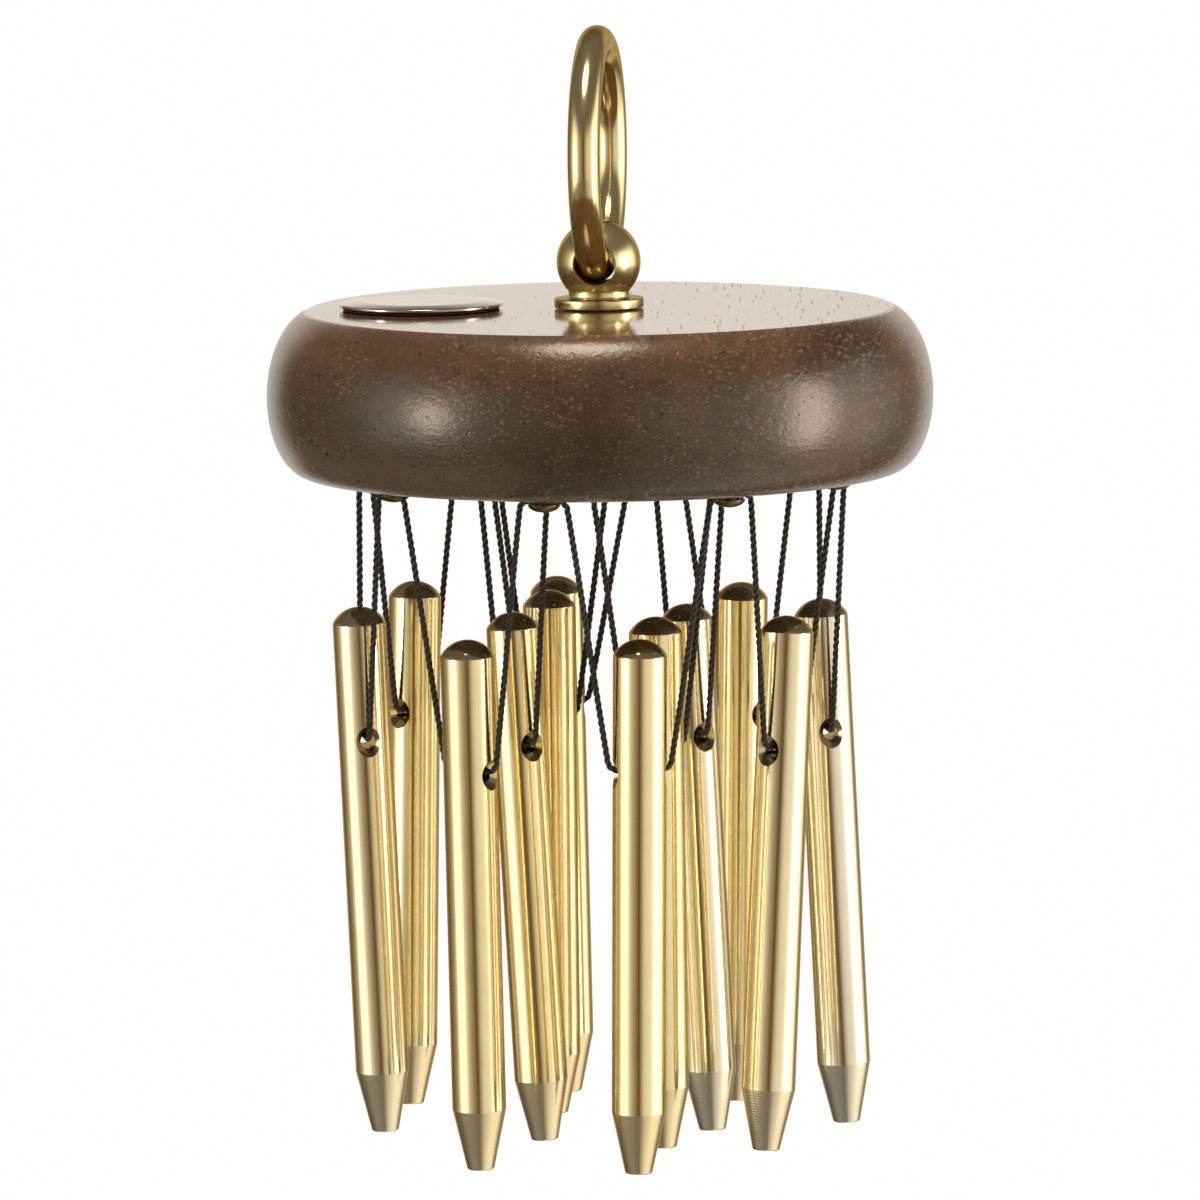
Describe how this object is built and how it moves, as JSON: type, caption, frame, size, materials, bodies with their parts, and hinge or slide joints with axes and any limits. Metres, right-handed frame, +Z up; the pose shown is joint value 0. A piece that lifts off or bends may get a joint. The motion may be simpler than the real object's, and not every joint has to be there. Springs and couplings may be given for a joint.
{
  "type": "peg chime",
  "caption": "Hanging hand chime: a turned wooden disc on a brass ring, with polished brass pegs strung below it on thin black cord.",
  "frame": {"origin": "inner top of the hanging ring, where a hook carries the chime", "axes": "+Z up along the disc's axis, -Y towards the front, +X to the right seen from the front"},
  "size_m": [0.1, 0.1, 0.1688],
  "materials": {
    "wood": "satin lacquer over dark open-pored hardwood",
    "ring_brass": "polished",
    "fastener_brass": "semi-bright",
    "peg_brass": "mirror polished, turned cone feet",
    "badge_metal": "polished, bare",
    "adhesive": "matte foam tape",
    "cord": "twisted waxed cord"
  },
  "bodies": {
    "ring": {"hanging_ring": "ring_brass"},
    "disc": {"wooden_disc": "wood", "eye_post": "ring_brass", "eye_washer": "fastener_brass", "eye_nut": "fastener_brass", "badge_plate": "badge_metal", "badge_pad": "adhesive", "cord_screw_outer_1": "fastener_brass", "cord_screw_outer_2": "fastener_brass", "cord_screw_outer_3": "fastener_brass", "cord_screw_outer_4": "fastener_brass", "cord_screw_outer_5": "fastener_brass", "cord_screw_outer_6": "fastener_brass", "cord_screw_outer_7": "fastener_brass", "cord_screw_outer_8": "fastener_brass", "cord_screw_inner_1": "fastener_brass", "cord_screw_inner_2": "fastener_brass", "cord_screw_inner_3": "fastener_brass", "cord_screw_inner_4": "fastener_brass", "cord_turn_outer_1": "cord", "cord_turn_outer_2": "cord", "cord_turn_outer_3": "cord", "cord_turn_outer_4": "cord", "cord_turn_outer_5": "cord", "cord_turn_outer_6": "cord", "cord_turn_outer_7": "cord", "cord_turn_outer_8": "cord", "cord_turn_inner_1": "cord", "cord_turn_inner_2": "cord", "cord_turn_inner_3": "cord", "cord_turn_inner_4": "cord"},
    "loop_outer_1": {"cord_loop_outer_1": "cord"},
    "peg_body_outer_1": {"peg_outer_1": "peg_brass"},
    "loop_outer_2": {"cord_loop_outer_2": "cord"},
    "peg_body_outer_2": {"peg_outer_2": "peg_brass"},
    "loop_outer_3": {"cord_loop_outer_3": "cord"},
    "peg_body_outer_3": {"peg_outer_3": "peg_brass"},
    "loop_outer_4": {"cord_loop_outer_4": "cord"},
    "peg_body_outer_4": {"peg_outer_4": "peg_brass"},
    "loop_outer_5": {"cord_loop_outer_5": "cord"},
    "peg_body_outer_5": {"peg_outer_5": "peg_brass"},
    "loop_outer_6": {"cord_loop_outer_6": "cord"},
    "peg_body_outer_6": {"peg_outer_6": "peg_brass"},
    "loop_outer_7": {"cord_loop_outer_7": "cord"},
    "peg_body_outer_7": {"peg_outer_7": "peg_brass"},
    "loop_outer_8": {"cord_loop_outer_8": "cord"},
    "peg_body_outer_8": {"peg_outer_8": "peg_brass"},
    "loop_inner_1": {"cord_loop_inner_1": "cord"},
    "peg_body_inner_1": {"peg_inner_1": "peg_brass"},
    "loop_inner_2": {"cord_loop_inner_2": "cord"},
    "peg_body_inner_2": {"peg_inner_2": "peg_brass"},
    "loop_inner_3": {"cord_loop_inner_3": "cord"},
    "peg_body_inner_3": {"peg_inner_3": "peg_brass"},
    "loop_inner_4": {"cord_loop_inner_4": "cord"},
    "peg_body_inner_4": {"peg_inner_4": "peg_brass"}
  },
  "joints": [
    {"name": "disc_swing", "type": "hinge", "parent": "ring", "child": "disc", "pos_m": [0, 0, -0.03068], "axis": [0.1236, 0.9923, 0], "range_deg": [-90, 90]},
    {"name": "loop_swing_outer_1", "type": "hinge", "parent": "disc", "child": "loop_outer_1", "pos_m": [0.03472, 0.0055, -0.06278], "axis": [0.1564, -0.9877, 0], "range_deg": [-4, 40]},
    {"name": "peg_swing_outer_1", "type": "hinge", "parent": "loop_outer_1", "child": "peg_body_outer_1", "pos_m": [0.03368, 0.00564, -0.10202], "axis": [0.1562, -0.9877, -0.0087], "range_deg": [-5, 35]},
    {"name": "loop_swing_outer_2", "type": "hinge", "parent": "disc", "child": "loop_outer_2", "pos_m": [0.02066, 0.02844, -0.06278], "axis": [0.809, -0.5878, 0], "range_deg": [-4, 40]},
    {"name": "peg_swing_outer_2", "type": "hinge", "parent": "loop_outer_2", "child": "peg_body_outer_2", "pos_m": [0.0209, 0.02826, -0.10202], "axis": [0.8087, -0.5876, -0.0262], "range_deg": [-5, 35]},
    {"name": "loop_swing_outer_3", "type": "hinge", "parent": "disc", "child": "loop_outer_3", "pos_m": [-0.0055, 0.03472, -0.06278], "axis": [0.9877, 0.1564, 0], "range_deg": [-4, 40]},
    {"name": "peg_swing_outer_3", "type": "hinge", "parent": "loop_outer_3", "child": "peg_body_outer_3", "pos_m": [-0.00676, 0.03503, -0.10152], "axis": [0.9876, 0.1562, 0.0174], "range_deg": [-5, 35]},
    {"name": "loop_swing_outer_4", "type": "hinge", "parent": "disc", "child": "loop_outer_4", "pos_m": [-0.02844, 0.02066, -0.06278], "axis": [0.5878, 0.809, 0], "range_deg": [-4, 40]},
    {"name": "peg_swing_outer_4", "type": "hinge", "parent": "loop_outer_4", "child": "peg_body_outer_4", "pos_m": [-0.02884, 0.02096, -0.10052], "axis": [0.5871, 0.8088, -0.0349], "range_deg": [-5, 35]},
    {"name": "loop_swing_outer_5", "type": "hinge", "parent": "disc", "child": "loop_outer_5", "pos_m": [-0.03472, -0.0055, -0.06278], "axis": [-0.1564, 0.9877, 0], "range_deg": [-4, 40]},
    {"name": "peg_swing_outer_5", "type": "hinge", "parent": "loop_outer_5", "child": "peg_body_outer_5", "pos_m": [-0.03583, -0.00487, -0.10122], "axis": [-0.1554, 0.9872, 0.0349], "range_deg": [-5, 35]},
    {"name": "loop_swing_outer_6", "type": "hinge", "parent": "disc", "child": "loop_outer_6", "pos_m": [-0.02066, -0.02844, -0.06278], "axis": [-0.809, 0.5878, 0], "range_deg": [-4, 40]},
    {"name": "peg_swing_outer_6", "type": "hinge", "parent": "loop_outer_6", "child": "peg_body_outer_6", "pos_m": [-0.01984, -0.02867, -0.10352], "axis": [-0.8089, 0.5875, 0.0209], "range_deg": [-5, 35]},
    {"name": "loop_swing_outer_7", "type": "hinge", "parent": "disc", "child": "loop_outer_7", "pos_m": [0.0055, -0.03472, -0.06278], "axis": [-0.9877, -0.1564, 0], "range_deg": [-4, 40]},
    {"name": "peg_swing_outer_7", "type": "hinge", "parent": "loop_outer_7", "child": "peg_body_outer_7", "pos_m": [0.00525, -0.03506, -0.10302], "axis": [-0.9877, -0.1564, 0.0087], "range_deg": [-5, 35]},
    {"name": "loop_swing_outer_8", "type": "hinge", "parent": "disc", "child": "loop_outer_8", "pos_m": [0.02844, -0.02066, -0.06278], "axis": [-0.5878, -0.809, 0], "range_deg": [-4, 40]},
    {"name": "peg_swing_outer_8", "type": "hinge", "parent": "loop_outer_8", "child": "peg_body_outer_8", "pos_m": [0.02654, -0.02089, -0.10152], "axis": [-0.5849, -0.8088, 0.0609], "range_deg": [-5, 35]},
    {"name": "loop_swing_inner_1", "type": "hinge", "parent": "disc", "child": "loop_inner_1", "pos_m": [0.01319, 0.00762, -0.06278], "axis": [0.5, -0.866, 0], "range_deg": [-2, 10]},
    {"name": "peg_swing_inner_1", "type": "hinge", "parent": "loop_inner_1", "child": "peg_body_inner_1", "pos_m": [0.01337, 0.00691, -0.10282], "axis": [0.4995, -0.8647, 0.0523], "range_deg": [-2.5, 10]},
    {"name": "loop_swing_inner_2", "type": "hinge", "parent": "disc", "child": "loop_inner_2", "pos_m": [-0.00762, 0.01319, -0.06278], "axis": [0.866, 0.5, 0], "range_deg": [-2, 10]},
    {"name": "peg_swing_inner_2", "type": "hinge", "parent": "loop_inner_2", "child": "peg_body_inner_2", "pos_m": [-0.00804, 0.01353, -0.10122], "axis": [0.866, 0.5, 0], "range_deg": [-2.5, 10]},
    {"name": "loop_swing_inner_3", "type": "hinge", "parent": "disc", "child": "loop_inner_3", "pos_m": [-0.01319, -0.00762, -0.06278], "axis": [-0.5, 0.866, 0], "range_deg": [-2, 10]},
    {"name": "peg_swing_inner_3", "type": "hinge", "parent": "loop_inner_3", "child": "peg_body_inner_3", "pos_m": [-0.01256, -0.00771, -0.10202], "axis": [-0.4995, 0.8659, -0.0262], "range_deg": [-2.5, 10]},
    {"name": "loop_swing_inner_4", "type": "hinge", "parent": "disc", "child": "loop_inner_4", "pos_m": [0.00762, -0.01319, -0.06278], "axis": [-0.866, -0.5, 0], "range_deg": [-2, 10]},
    {"name": "peg_swing_inner_4", "type": "hinge", "parent": "loop_inner_4", "child": "peg_body_inner_4", "pos_m": [0.00799, -0.01344, -0.10232], "axis": [-0.866, -0.5, 0], "range_deg": [-2.5, 10]}
  ]
}
